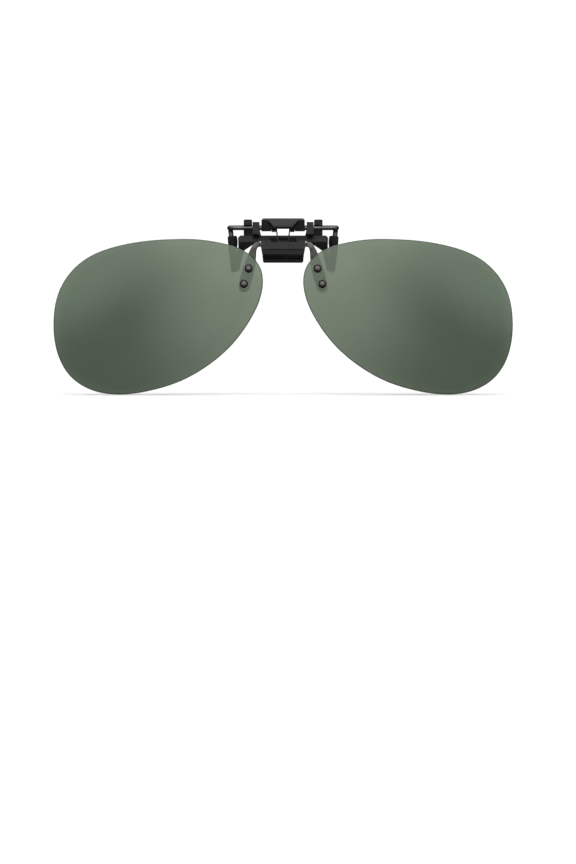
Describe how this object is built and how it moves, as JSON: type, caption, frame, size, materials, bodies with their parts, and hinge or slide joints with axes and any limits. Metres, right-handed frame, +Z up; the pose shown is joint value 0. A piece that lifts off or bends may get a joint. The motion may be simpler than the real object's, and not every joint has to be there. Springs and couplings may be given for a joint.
{
  "type": "flip-up clip-on lenses",
  "caption": "Clip-on tinted lenses on a sprung spectacle clip: the rear claws open against a torsion spring and the lenses flip up on a detent hinge.",
  "frame": {"origin": "middle of the jaw: halfway between the two front pads, on the plane of their rear faces, where a spectacle lens rests", "axes": "+Z up as worn, +X to the wearer's left, -Y forward away from the face; the lenses hang down and flip forward and up about X"},
  "size_m": [0.132, 0.0115, 0.0505],
  "materials": {
    "black_casting": "satin black coat on a fine casting",
    "black_wire": "semi-gloss black coat",
    "black_spring": "blackened spring wire",
    "black_rubber": "matte soft sleeve",
    "spring_steel": "blued strip",
    "gunmetal": "dark nickel plate",
    "screw_metal": "dark nickel plate, domed and polished",
    "tinted_lens": "grey-green polarised film, polished both sides",
    "clear_washer": "clear nylon"
  },
  "bodies": {
    "clip_body": {"clip_frame": "black_casting", "hinge_cover": "black_casting", "detent_spring": "spring_steel", "torsion_spring": "black_spring", "front_pad_left": "black_rubber", "front_pad_right": "black_rubber"},
    "rear_jaw": {"thumb_lever": "black_casting", "claw_wire_left": "black_wire", "claw_wire_right": "black_wire", "claw_sleeve_left": "black_rubber", "claw_sleeve_right": "black_rubber"},
    "lens_carrier": {"hinge_rod": "gunmetal", "lens_leg_left": "gunmetal", "lens_left": "tinted_lens", "lens_screws_left": "screw_metal", "lens_nuts_left": "screw_metal", "front_washers_left": "clear_washer", "rear_washers_left": "clear_washer", "lens_leg_right": "gunmetal", "lens_right": "tinted_lens", "lens_screws_right": "screw_metal", "lens_nuts_right": "screw_metal", "front_washers_right": "clear_washer", "rear_washers_right": "clear_washer"}
  },
  "joints": [
    {"name": "lens_flip", "type": "hinge", "parent": "clip_body", "child": "lens_carrier", "pos_m": [0, -0.0036, 0.005], "axis": [-1, 0, 0], "range_deg": [0, 100], "deforming": ["detent_spring"]},
    {"name": "jaw_open", "type": "hinge", "parent": "clip_body", "child": "rear_jaw", "pos_m": [0, -0.0026, 0.0098], "axis": [1, 0, 0], "range_deg": [0, 25], "stiffness_Nm_per_rad": 0.02, "springref_deg": -28.65, "deforming": ["torsion_spring"]}
  ]
}
